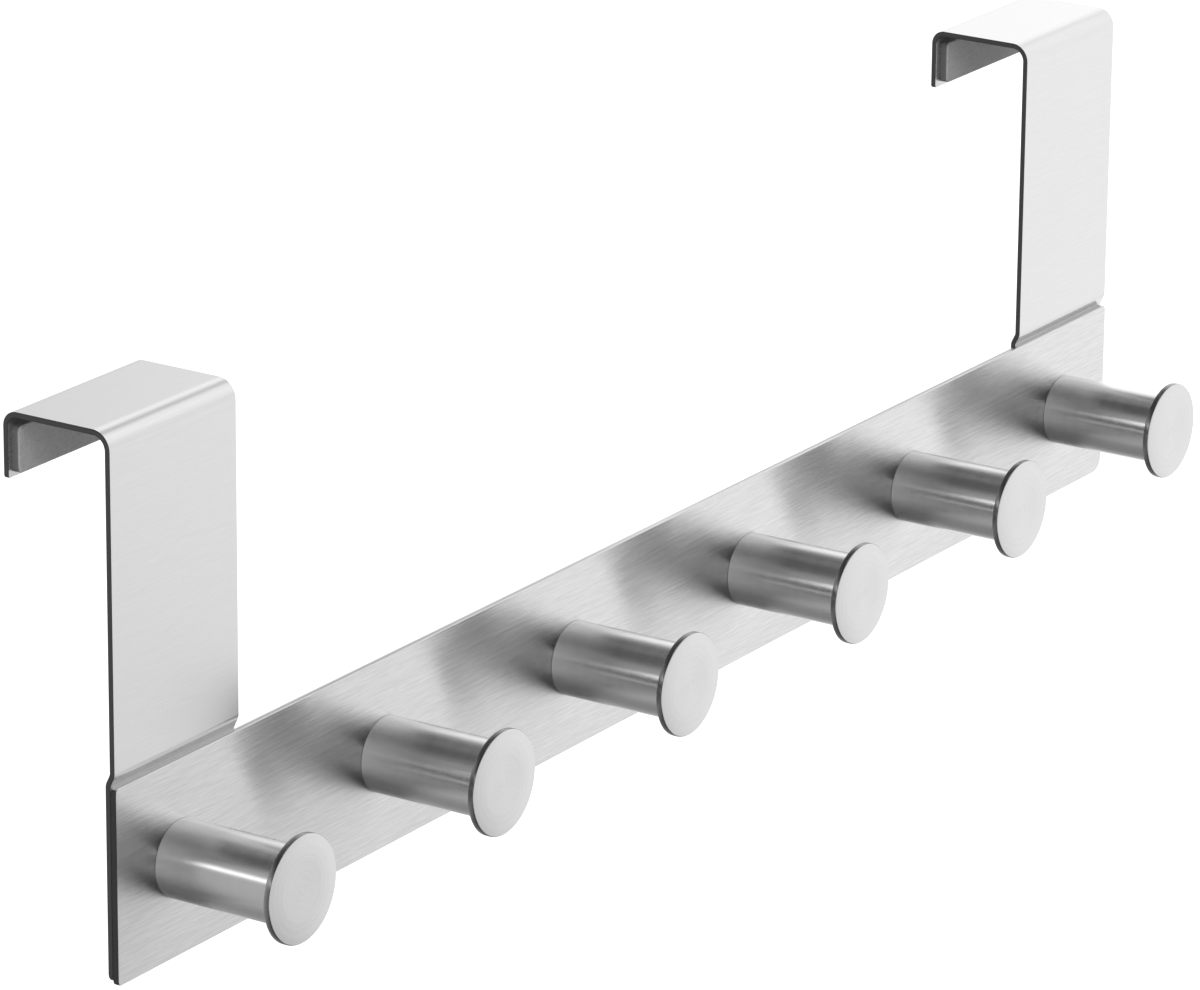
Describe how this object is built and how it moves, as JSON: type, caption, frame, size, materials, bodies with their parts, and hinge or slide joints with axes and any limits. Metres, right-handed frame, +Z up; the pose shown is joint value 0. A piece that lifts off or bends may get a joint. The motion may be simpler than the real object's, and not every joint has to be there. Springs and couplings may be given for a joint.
{
  "type": "over door hook",
  "caption": "Over-door peg rail in brushed stainless steel: a long flat plate on two bent strap hangers, with a row of disc-headed turned pegs.",
  "frame": {"origin": "on the door's top front edge, midway between the two hangers: the underside of the webs and the back of the front legs", "axes": "+X along the rail to the right as seen from the front, +Y into the door, +Z up"},
  "size_m": [0.464, 0.0663, 0.1355],
  "materials": {
    "brushed_steel": "satin, brushed along the sheet",
    "turned_steel": "satin, fine turned rings and a circular brushed head",
    "screw_steel": "bright zinc-plated",
    "pad_foam": "matt closed-cell foam"
  },
  "bodies": {
    "root": {"rail_plate": "brushed_steel", "hanger_left": "brushed_steel", "lip_pad_left": "pad_foam", "back_pad_left": "pad_foam", "hanger_right": "brushed_steel", "lip_pad_right": "pad_foam", "back_pad_right": "pad_foam", "peg_1": "turned_steel", "peg_2": "turned_steel", "peg_3": "turned_steel", "peg_4": "turned_steel", "peg_5": "turned_steel", "peg_6": "turned_steel", "peg_screw_1": "screw_steel", "peg_screw_2": "screw_steel", "peg_screw_3": "screw_steel", "peg_screw_4": "screw_steel", "peg_screw_5": "screw_steel", "peg_screw_6": "screw_steel"}
  },
  "joints": []
}
